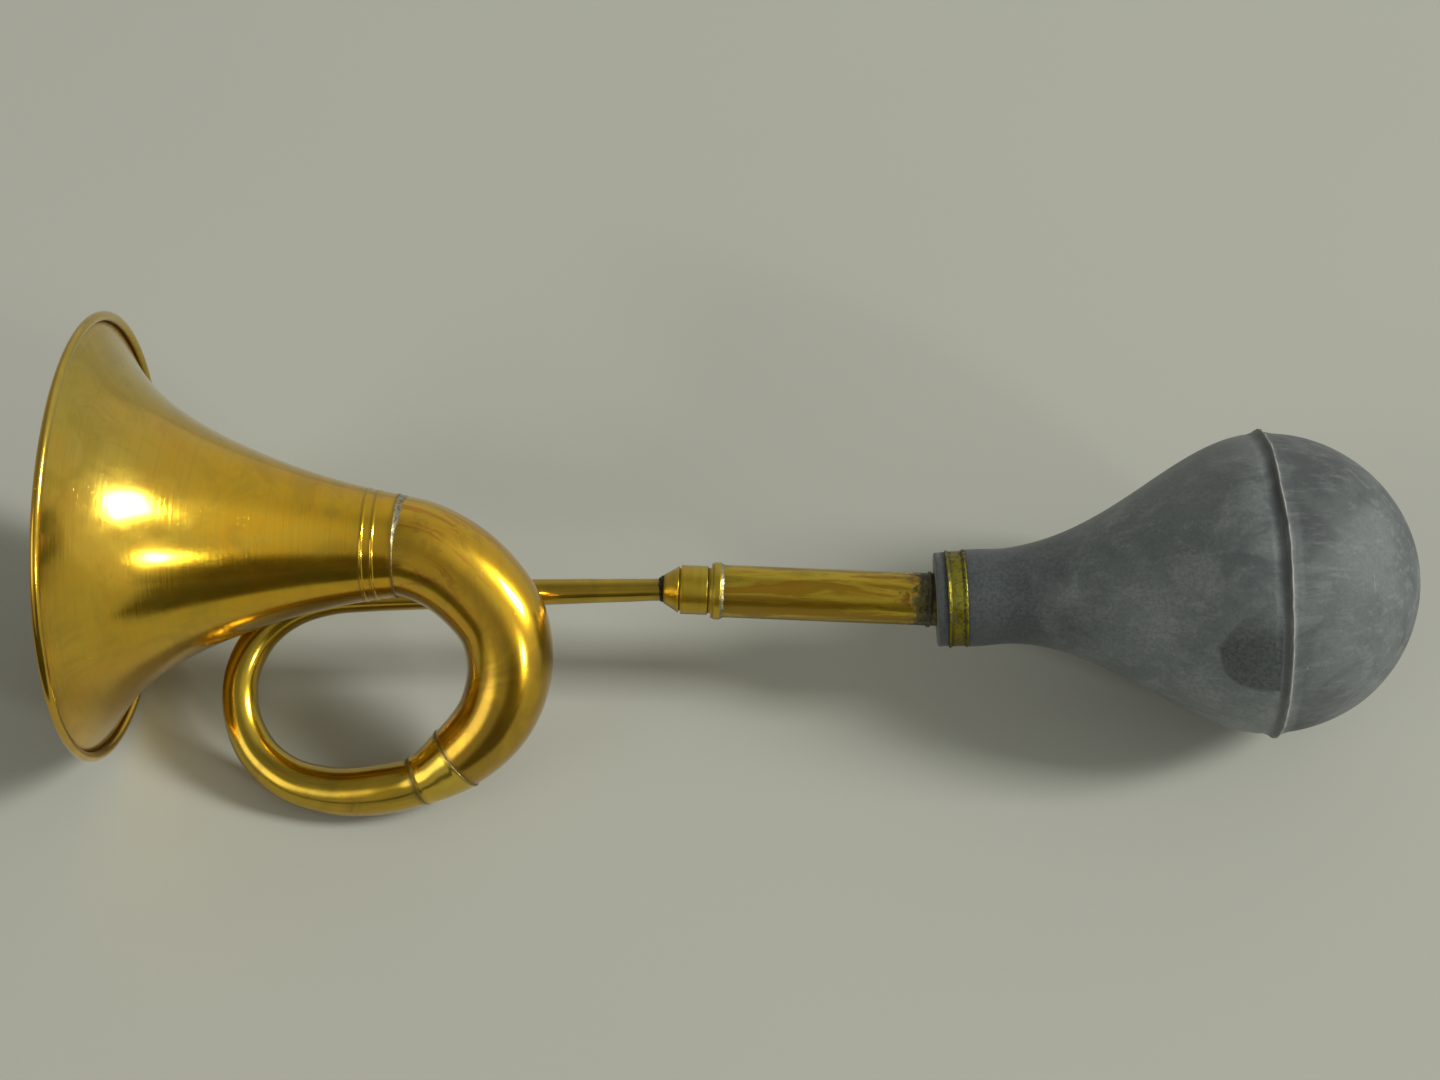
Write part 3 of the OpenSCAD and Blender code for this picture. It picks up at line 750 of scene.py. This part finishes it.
def bell_outline():
    """Outline of the spun sheet with its rolled bead, from the seam outside, round the bead and
    back down the inside."""
    bead = (BELL_R - BEAD_R, BELL_L - BEAD_R)
    ring_h, ring_w, ring_middle = 0.16, 0.75, 0.45
    flare_end, thin_from = BELL_L - 0.62, 60
    s = BELL_L * (1 - (1 - np.linspace(0, flare_end / BELL_L, 240)) ** 1.15)
    s = s / s[-1] * flare_end
    for ring in TAIL_RINGS:
        s = np.concatenate([s, np.linspace(ring - 0.35, ring + ring_w + 0.35, 17)])
    s = np.unique(np.round(s, 4))
    r = bell_radius(s)
    slope = np.gradient(r, s)
    normal = np.column_stack([-slope, np.ones_like(s)]) / np.hypot(slope, 1)[:, None]
    wall = SHEET_T + (RIM_T - SHEET_T) * smooth((s - thin_from) / (flare_end - thin_from))
    outer = np.column_stack([r, s])
    inner = outer + np.column_stack([-normal[:, 1], -normal[:, 0]]) * wall[:, None]
    for ring in TAIL_RINGS:
        from_middle = np.abs(s - ring - ring_middle)
        outer[:, 0] += ring_h * smooth((ring_w / 2 + 0.15 - from_middle) / 0.45)
    round_bead = arc(bead, BEAD_R, -205, 92, 40)
    return np.concatenate([outer, round_bead, inner[::-1]])


def make_bell():
    def swell(local, angle, along):
        off = 0.12 * (lumps(local, 46.0, 0) - 1) + 0.006 * (lumps(local, 15.0, 3) - 1)
        return off * smooth((BELL_L - 1.0 - along) / 8) * smooth((along + 1) / 3)

    groove = (BELL_R - 2.6, BELL_L - 1.0, 0.7, 1.0)
    marks = [groove, (TAIL_R, 0.1, 0.5, 0.7)]
    marks += [(float(bell_radius(ring + 1.1)), ring + 1.1, 0.25, 0.4) for ring in TAIL_RINGS]
    piece = lathe("bell_sheet", ON_BELL, bell_outline(), sides=320, swell=swell, grime=marks)
    dress(piece, "bell", "bell_brass", "horn", "bell")
    repaint("rim_wire", "wire")


def make_bell_seam():
    """Silver solder round the seam: wide and rough on top, a thin line below."""
    def surface(a, distance, height):
        # the seam's angle counts from the viewer, and the coil's from the loop's outside
        return coil_surface(distance / SPANS[0], math.pi / 2 - a, height)

    angle = around(180)
    ring = circle(angle, 14)
    on_top = smooth(np.sin(angle) + 0.15)
    end = 0.28 + 1.15 * on_top * (0.75 + 0.5 * lumps(ring, 2.2, 5)) + 0.25 * np.abs(lumps(ring, 1.2, 6))
    height = 0.32 + 0.06 * lumps(ring, 1.5, 7)
    piece = solder_bead("bell_seam_solder", surface, 0.0, end, height)
    dress(piece, "solder", "solder", "horn", "bell_solder")


# ---- the coil
def make_coil():
    def bend_swell(local, angle, u):
        inside = 0.5 - 0.5 * np.cos(angle)
        ripple = lumps(local, 13.0, 11) * (0.05 + 0.08 * inside)
        wave = 0.10 * (lumps(local, 28.0, 12) - 1)
        return (ripple + wave) * smooth(u / 0.35) * smooth((SLEEVE_FROM - u) / 0.3)

    def sleeve_swell(local, angle, u):
        edge = smooth((u - SLEEVE_FROM) / 0.12) * smooth((SLEEVE_TO - u) / 0.12)
        dents = 0.22 * (lumps(local, 8.0, 21) - 0.9) + 0.03 * lumps(local, 3.5, 22)
        return dents * edge - 0.12

    def pipe_swell(local, angle, u):
        wave = 0.06 * (lumps(local, 10.0, 31) - 1)
        return wave * smooth((u - SLEEVE_TO) / 0.3) * smooth((COIL_LAST - u) / 0.2)

    bend = coil_pipe("large_bend_tube", 0, SLEEVE_FROM, BEND_WALL, sides=144, per_span=22, swell=bend_swell,
                     grime=[(0.0, 0.05, 0.5), (SLEEVE_FROM, 0.05, 0.8)])
    dress(bend, "bend", "bend_brass", "horn", "large_bend")
    sleeve = coil_pipe("sleeve_tube", SLEEVE_FROM, SLEEVE_TO, BEND_WALL, proud=SLEEVE_PROUD, sides=144,
                       per_span=60, swell=sleeve_swell,
                       grime=[(SLEEVE_FROM, 0.03, 0.7), (SLEEVE_TO, 0.05, 0.9)])
    dress(sleeve, "sleeve", "bend_brass", "horn", "coupling_sleeve")
    pipe = coil_pipe("small_tube", SLEEVE_TO, COIL_LAST, COIL_WALL, per_span=20, swell=pipe_swell,
                     grime=[(SLEEVE_TO, 0.06, 0.9), (COIL_LAST, 0.08, 1.0)])
    dress(pipe, "coil", "coil_brass", "horn", "coil_tube")


def make_coil_solder():
    angle = around(180)
    ring = circle(angle, 9)
    inside = smooth((-np.cos(angle) - 0.55) / 0.4)

    def run(name, node, station, way, width, blob_width, height, seed):
        span = SPANS[station if way > 0 else station - 1]

        def surface(a, distance, rise):
            return coil_surface(station + way * distance / span, a, rise)

        end = width * (1 + 0.5 * lumps(ring, 2.0, seed)) + blob_width * inside
        tall = height * (1 + 0.15 * lumps(ring, 1.6, seed + 1))
        piece = solder_bead(name, surface, 0.0, end, tall)
        dress(piece, "dull_solder", "solder", "horn", node)

    run("sleeve_solder_upper", "sleeve_solder_bend", SLEEVE_FROM, -1, 0.12, 0.20, 0.17, 41)
    run("sleeve_solder_lower", "sleeve_solder_coil", SLEEVE_TO, 1, 0.12, 1.7, 0.24, 44)
    # drops of solder where the small tube touches the bell's tail and the bend
    drop_r, on_tail, on_bend = 1.15, (-127.3, -7.5, 1.5), (-65.8, -3.6, 4.0)
    neck = blob("neck_tack", on_tail, drop_r, (0.6, 0.8, 0), 2.0)
    dress(neck, "solder", "solder", "horn", "neck_tack_solder")
    bend = blob("bend_tack", on_bend, drop_r, (1, 0, 0.2), 5.0)
    dress(bend, "solder", "solder", "horn", "bend_tack_solder")


# ---- the reed holder and the slip joint
def make_reed_holder():
    cone_r, groove_r = COLLAR_R - 0.4, COLLAR_R - 1.0
    cone = [(3.7, 0), (4.4, 0.7), (5.1, 1.8), (5.8, 3.0), (6.4, 4.0), (cone_r, 4.7)]
    outer = [(r, CONE_FROM + s) for r, s in cone]
    outer += [(cone_r, COLLAR_FROM - 0.6), (groove_r, COLLAR_FROM - 0.4), (groove_r, COLLAR_FROM),
              (COLLAR_R, COLLAR_FROM), (COLLAR_R, -RING_GAP - 0.9), (groove_r + 0.4, -RING_GAP - 0.6),
              (groove_r + 0.4, -RING_GAP), (SPIGOT_R, -RING_GAP), (SPIGOT_R, WAIST[0]),
              (WAIST_R, WAIST[0]), (WAIST_R, WAIST[1]), (SPIGOT_R, WAIST[1]), (SPIGOT_R, SPIGOT_L)]
    inner = [(SHALLOT_R, SPIGOT_L), (SHALLOT_R, SHALLOT_FROM), (AIR_WAY_R, SHALLOT_FROM),
             (AIR_WAY_R, CONE_FROM + PIPE_SOCKET_L), (PIPE_SOCKET_R, CONE_FROM + PIPE_SOCKET_L),
             (PIPE_SOCKET_R, CONE_FROM)]
    outline = divided(eased(outer + inner, 0.22), 0.5)
    marks = [(3.7, CONE_FROM, 1.1, 1.0), (groove_r, COLLAR_FROM - 0.2, 0.4, 0.45),
             (groove_r + 0.4, -RING_GAP - 0.3, 0.4, 0.4), (WAIST_R, WAIST[0], 0.5, 0.6),
             (WAIST_R, WAIST[1], 0.5, 0.6)]
    piece = lathe("reed_holder_turned", ON_TUBE, outline, grime=marks)
    cut_reed_slot(piece)
    dress(piece, "turned", "turned_brass", "horn", "reed_holder")
    for node in ("reed_shallot", "reed_wedge", "reed_tongue"):
        repaint(node, "reed")


def cut_reed_slot(piece):
    """Cuts the slot for the reed's root and wedge into the spigot's end, with a box."""
    half_width = 2.65
    corners = [(x, y, z) for z in (-half_width, half_width) for y in (1.6, 5.0) for x in (16.7, 40.0)]
    faces = [(0, 1, 3, 2), (4, 6, 7, 5), (0, 4, 5, 1), (2, 3, 7, 6), (0, 2, 6, 4), (1, 5, 7, 3)]
    cutter = put("slot_cutter", new_mesh("slot_cutter", to_row(corners).tolist(), faces))
    cut = piece.modifiers.new("slot", "BOOLEAN")
    cut.object, cut.operation, cut.solver = cutter, "DIFFERENCE", "EXACT"
    bpy.context.view_layer.update()
    done = bpy.data.meshes.new_from_object(piece.evaluated_get(bpy.context.evaluated_depsgraph_get()))
    piece.modifiers.clear()
    piece.data = done
    bpy.data.objects.remove(cutter)
    done.polygons.foreach_set("use_smooth", [True] * len(done.polygons))
    done.set_sharp_from_angle(angle=math.radians(40))


def make_pipe_joint():
    """Blackened solder where the small tube enters the reed holder's nose."""
    pipe_r = 3.42
    ring = circle(around(120), 4)

    def surface(a, distance, height):
        return on_axis(ON_TUBE, pipe_r + height, a, CONE_FROM - distance)

    end = 0.95 + 0.4 * lumps(ring, 1.6, 51)
    piece = solder_bead("pipe_joint", surface, -0.05, end, 0.75 + 0.1 * lumps(ring, 1.2, 52))
    dress(piece, "black_solder", "solder", "horn", "pipe_solder")


def make_packing():
    """Waxed thread wound side by side in the spigot's waist."""
    start, end = WAIST[0] + 0.15, WAIST[1] - 0.15
    inner_r, outer_r = WAIST_R + 0.05, TUBE_BORE_R - 0.05
    pitch, valley_depth = 0.62, 0.22
    s = np.linspace(start, end, 260)
    outer = np.column_stack([np.full_like(s, outer_r), s])
    outline = np.concatenate([[(inner_r, start)], outer, [(inner_r, end)]])

    def swell(local, angle, along):
        phase = along / pitch - angle / (2 * math.pi)
        valley = 1 - np.sqrt(np.clip(1 - (2 * (phase % 1) - 1) ** 2, 0, 1))
        on_top = local[..., 0] ** 2 + local[..., 1] ** 2 > (outer_r - 0.2) ** 2
        return -valley_depth * valley * on_top

    piece = lathe("thread_packing", ON_TUBE, outline, sides=96, swell=swell)
    dress(piece, "thread", "packing", "packing", "joint_packing")


# ---- the bulb tube and its rings
def make_tube():
    end = TUBE_L + TUBE_INSET
    outline = [(TUBE_R - 0.15, 0), (TUBE_R, 0.15), (TUBE_R, end - 0.2), (TUBE_R - 0.2, end),
               (TUBE_BORE_R, end), (TUBE_BORE_R, 0.2), (TUBE_BORE_R + 0.2, 0)]

    def swell(local, angle, along):
        return 0.035 * (lumps(local * (1, 1, 0.25), 7.0, 61) - 1)

    piece = lathe("bulb_tube_drawn", ON_TUBE, divided(outline, 1.2), swell=swell,
                  grime=[(TUBE_R, STOP_W + 1.2, 0.8, 0.35)])
    dress(piece, "tube", "tube_brass", "bulb_unit", "bulb_tube")


def make_tube_rings():
    lip = 0.6
    outline = [(TUBE_R, 0), (STOP_R - 0.4, 0), (STOP_R - 0.4, lip), (STOP_R, lip + 0.3),
               (STOP_R, STOP_W - 0.2), (STOP_R - 0.2, STOP_W), (TUBE_R, STOP_W)]
    stop = lathe("stop_ring_turned", ON_TUBE, divided(eased(outline, 0.16), 0.4),
                 grime=[(STOP_R - 0.3, lip, 0.35, 0.5)])
    dress(stop, "turned", "turned_brass", "bulb_unit", "stop_ring")

    ring = circle(around(180), TUBE_R)

    def surface(a, distance, height):
        return on_axis(ON_TUBE, TUBE_R + height, a, STOP_W + distance)

    end = 0.85 + 0.45 * lumps(ring, 2.6, 71) + 0.2 * lumps(ring, 0.9, 72)
    fillet = solder_bead("ring_solder_run", surface, -0.02, end, 0.50 + 0.05 * lumps(ring, 2.0, 73))
    dress(fillet, "solder", "solder", "bulb_unit", "ring_solder")

    low, high, r = TUBE_L - 2.6, TUBE_L - 1.6, TUBE_R + 0.45
    outline = eased([(TUBE_R, low), (r, low), (r, high), (TUBE_R, high)], 0.3, 6)
    cuff = lathe("cuff_ring_rolled", ON_TUBE, divided(outline, 0.3), grime=[(TUBE_R, low, 0.5, 0.6)])
    dress(cuff, "tube", "tube_brass", "bulb_unit", "cuff_ring")


# ---- the rubber bulb and its band
def bulb_radius(s):
    flare_from, mould_bend = 15.0, 1.18
    t = np.clip((np.asarray(s, float) - flare_from) / (BULB_FRONT_L - flare_from), 0, 1)
    return NECK_R + (BULB_R - NECK_R) * smooth(t ** mould_bend)


def make_bulb():
    mouth_r, lip_r, seat_r = 8.05, 14.1, 13.8
    neck = [(mouth_r, 14.0), (mouth_r, 0.4), (8.4, 0.0), (lip_r - 0.35, 0.0), (lip_r, 0.35),
            (lip_r, BAND_FROM - 0.1), (seat_r, BAND_FROM), (seat_r, BAND_TO),
            (NECK_R - 0.15, BAND_TO + 0.05), (NECK_R, BAND_TO + 0.5)]
    s = np.concatenate([np.linspace(10.4, BULB_FRONT_L - 5, 110),
                        np.linspace(BULB_FRONT_L - 4.8, BULB_FRONT_L, 32)])
    front = np.column_stack([bulb_radius(s), s])
    a = np.concatenate([np.radians(np.linspace(0.15, 6, 32)), np.radians(np.linspace(6.8, 90, 90))])
    rear = np.column_stack([BULB_R * np.cos(a), BULB_FRONT_L + BULB_R * np.sin(a)])
    rear[-1, 0] = 0.0
    inner_a = np.radians(np.linspace(90, 0, 40))
    inner_r = BULB_R - RUBBER_T
    inside_rear = np.column_stack([inner_r * np.cos(inner_a), BULB_FRONT_L + inner_r * np.sin(inner_a)])
    inside_rear[0, 0] = 0.0
    inside_s = np.linspace(BULB_FRONT_L - 2, 30, 50)
    inside_front = np.column_stack([np.maximum(bulb_radius(inside_s) - RUBBER_T - 2, mouth_r), inside_s])
    outline = np.concatenate([inside_rear, inside_front, divided(neck, 0.7), front, rear])
    outside_from = len(inside_rear) + len(inside_front)

    def swell(local, angle, along):
        off = 0.38 * (lumps(local, 34.0, 81) - 1) + 0.10 * (lumps(local, 12.0, 82) - 1)
        off = off * smooth((along - 12) / 10)
        flash = circle(angle[0], 20)
        drift = 0.45 * lumps(flash, 6.0, 83) + 0.22 * lumps(flash, 1.6, 84)
        gap = np.abs(along - SEAM_AT - drift[None, :])
        welt = 0.20 * smooth(1 - gap / 1.5)
        crest = 0.60 + 0.14 * lumps(flash, 2.2, 85) + 0.26 * lumps(flash, 0.9, 87)
        crest = crest[None, :] * smooth(1 - gap / 0.70)
        notch = -0.10 * smooth(1 - np.abs(along - BULB_FRONT_L + 2.6) / 1.6)
        nib = 0.35 * smooth(1 - (BULB_FRONT_L + BULB_R - along) / 0.35) * (lumps(local, 1.5, 86) - 1)
        off = off * (1 - smooth(1 - gap / 4)) + welt + crest + notch + nib
        outside = (np.arange(len(local)) >= outside_from)[:, None]
        return np.where(outside, off, 0)

    piece = lathe("rubber_bulb", ON_BULB, outline, sides=256, swell=swell, closed=False)
    crest_line(piece)
    dress(piece, "rubber", "bulb_rubber", None, "bulb_front", "bulb_rear")
    start, end = (to_row(on_axis(ON_BULB, 0.0, 0.0, along)) for along in (24.0, BULB_FRONT_L))
    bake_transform(piece)


def crest_line(piece):
    """Marks the pale crest of the seam's flash, from how high it stands, and the pale lip of the
    bulb's mouth in the piece's grime."""
    mesh = piece.data
    co = np.array([v.co for v in mesh.vertices])
    local = np.empty(len(co) * 3, np.float32)
    mesh.attributes["local"].data.foreach_get("vector", local)
    local = local.reshape(-1, 3)
    at, way = to_row(ON_BULB[0]), HORN_TURN @ ON_BULB[3]
    rel = co - at
    along = rel @ way
    radius = np.linalg.norm(rel - along[:, None] * way, axis=1) / MM
    near = np.abs(local[:, 2] - SEAM_AT) < 2.6
    pale = smooth((radius - BULB_R - 0.45) / 0.45) * near
    lip = 0.35 * smooth(1 - np.abs(local[:, 2]) / 0.5)
    mesh.attributes["grime"].data.foreach_set("value", np.maximum(pale, lip).astype(np.float32))


def make_band():
    r, seat, lip = BAND_R, 13.85, 0.55
    outline = [(seat, BAND_FROM), (r, BAND_FROM), (r, BAND_FROM + lip), (r - 0.45, BAND_FROM + lip + 0.5),
               (r - 0.45, BAND_TO - lip - 0.5), (r, BAND_TO - lip), (r, BAND_TO), (seat, BAND_TO)]

    def swell(local, angle, along):
        free = local[..., 0] ** 2 + local[..., 1] ** 2 > (seat + 0.2) ** 2
        return 0.10 * (lumps(local, 3.2, 91) - 0.8) * free

    marks = [(r - 0.4, BAND_FROM + lip + 0.4, 0.5, 0.8), (r - 0.4, BAND_TO - lip - 0.4, 0.5, 0.8),
             (seat, BAND_FROM, 0.5, 0.8), (seat, BAND_TO, 0.5, 0.8)]
    band = lathe("clamp_band_rolled", ON_BULB, divided(eased(outline, 0.2), 0.35), sides=240,
                 swell=swell, grime=marks)
    dress(band, "band", "band_brass", "bulb_unit", "clamp_band")

    # the rivet's head is on the side that faces away from the viewer
    head_at = on_axis(ON_BULB, r - 0.55, math.pi, (BAND_FROM + BAND_TO) / 2)
    head_place = (head_at, ON_BULB[3], ON_BULB[2], -ON_BULB[1])
    dome = np.concatenate([[(0.0, -0.1), (1.3, -0.1)], arc((0, -0.55), 1.45, 22, 90, 12)])
    dome[-1, 0] = 0.0
    rivet = lathe("band_rivet_head", head_place, dome, sides=48, closed=False)
    dress(rivet, "band", "band_brass", "bulb_unit", "band_rivet")


# ---- the studio
def make_camera():
    """Camera over the horn, facing the coil's plane, with a 60 mm lens on a 36 mm sensor."""
    distance, roll = 720.0, math.radians(2.285)
    at = to_row((2.09, 15.28, distance))
    right = HORN_TURN @ (math.cos(roll), math.sin(roll), 0)
    up = HORN_TURN @ (-math.sin(roll), math.cos(roll), 0)
    data = bpy.data.cameras.new("camera")
    data.lens, data.sensor_width = 60.0, 36.0
    data.clip_start, data.clip_end = 0.05, 100.0
    camera = put("camera", data)
    rows = [[*row, t] for row, t in zip(np.column_stack([right, up, HORN_Z]), at)]
    camera.matrix_world = Matrix(rows + [[0, 0, 0, 1]])
    bpy.context.scene.camera = camera


def make_window(name, toward, width, height, glow):
    """Rectangular lamp nine metres from the horn; glow is how bright it looks."""
    distance, horn_middle = 9.0, Vector((-0.06, 0.0, 0.06))
    data = bpy.data.lights.new(name, "AREA")
    data.shape, data.size, data.size_y = "RECTANGLE", width, height
    data.energy, data.color = glow * math.pi * width * height, (1.0, 0.99, 0.96)
    lamp = put(name, data)
    way = Vector(toward).normalized()
    lamp.location = horn_middle + way * distance
    lamp.rotation_mode = "QUATERNION"
    lamp.rotation_quaternion = way.to_track_quat("Z", "Y")


def make_room():
    """The room round the studio: a little paler at the horizon than overhead, with two broad
    glows, a dark side towards the viewer and one small bright patch."""
    world = bpy.data.worlds.new("studio")
    bpy.context.scene.world = world
    world.use_nodes = True
    nodes = Nodes(world.node_tree)
    way = nodes.add("ShaderNodeTexCoord").outputs["Generated"]
    height = nodes.add("ShaderNodeSeparateXYZ", Vector=way).outputs["Z"]
    ramp = nodes.add("ShaderNodeValToRGB", Fac=height)
    stops = [(0.0, (0.38, 0.38, 0.35)), (0.35, (0.34, 0.335, 0.31)), (0.75, (0.25, 0.25, 0.23)),
             (1.0, (0.21, 0.21, 0.195))]
    ramp.color_ramp.elements[0].color = (*stops[0][1], 1)
    ramp.color_ramp.elements[1].color = (*stops[-1][1], 1)
    for place, colour in stops[1:-1]:
        ramp.color_ramp.elements.new(place).color = (*colour, 1)
    shade = ramp.outputs["Color"]
    # each: the way to its middle, the cosines between which it fades in, and its colour
    for toward, outside, inside, colour in [
            ((0.80, -0.18, 0.60), 0.55, 0.95, (0.64, 0.62, 0.56)),
            ((0.45, 0.75, 0.48), 0.55, 0.97, (0.50, 0.49, 0.45)),
            ((0.30, -0.95, 0.02), 0.84, 0.95, (0.085, 0.072, 0.045)),
            ((-0.68, -0.57, 0.47), 0.94, 0.985, (2.1, 2.05, 1.9))]:
        side = nodes.add("ShaderNodeVectorMath", operation="DOT_PRODUCT", Vector=way)
        side.inputs[1].default_value = Vector(toward).normalized()
        shade = nodes.mix(nodes.range(side.outputs["Value"], outside, inside), shade, colour)
    nodes.set(world.node_tree.nodes["Background"].inputs["Color"], shade)


def lay_flat(name, corners, height, look):
    """Flat sheet for the studio; its corners and height are in metres."""
    mesh = new_mesh(name, [(x, y, height) for x, y in corners], [(0, 1, 2, 3)])
    mesh.materials.append(look)
    sheet = put(name, mesh)
    return sheet


def make_studio():
    half = 30.0
    paper = matt_look("floor_paper", 0.0, 0.004, (0.355, 0.366, 0.322), (0.370, 0.381, 0.336))
    lay_flat("floor", [(-half, -half), (half, -half), (half, half), (-half, half)], 0, paper)

    # dark cloth on the floor in front, which only reflections see
    black = matt_look("dark_cloth", 0.1, 0.4, (0.035, 0.032, 0.022), (0.06, 0.055, 0.035))
    edge, front = -0.155, -8.0
    corners = [(-6.0, edge), (-0.02, edge), (6.6, front), (-6.0, front)]
    cloth = lay_flat("dark_cloth", corners, 0.001, black)
    cloth.visible_camera = cloth.visible_diffuse = cloth.visible_shadow = False

    make_room()
    make_window("window_large", (0.831, -0.053, 0.554), 1.96, 2.60, 52.0)
    make_window("window_small", (0.690, -0.643, 0.331), 0.98, 0.86, 56.0)
    bpy.context.scene.view_settings.view_transform = "Standard"


make_camera()
make_studio()
make_bell()
make_bell_seam()
make_coil()
make_coil_solder()
make_reed_holder()
make_pipe_joint()
make_packing()
make_tube()
make_tube_rings()
make_bulb()
make_band()
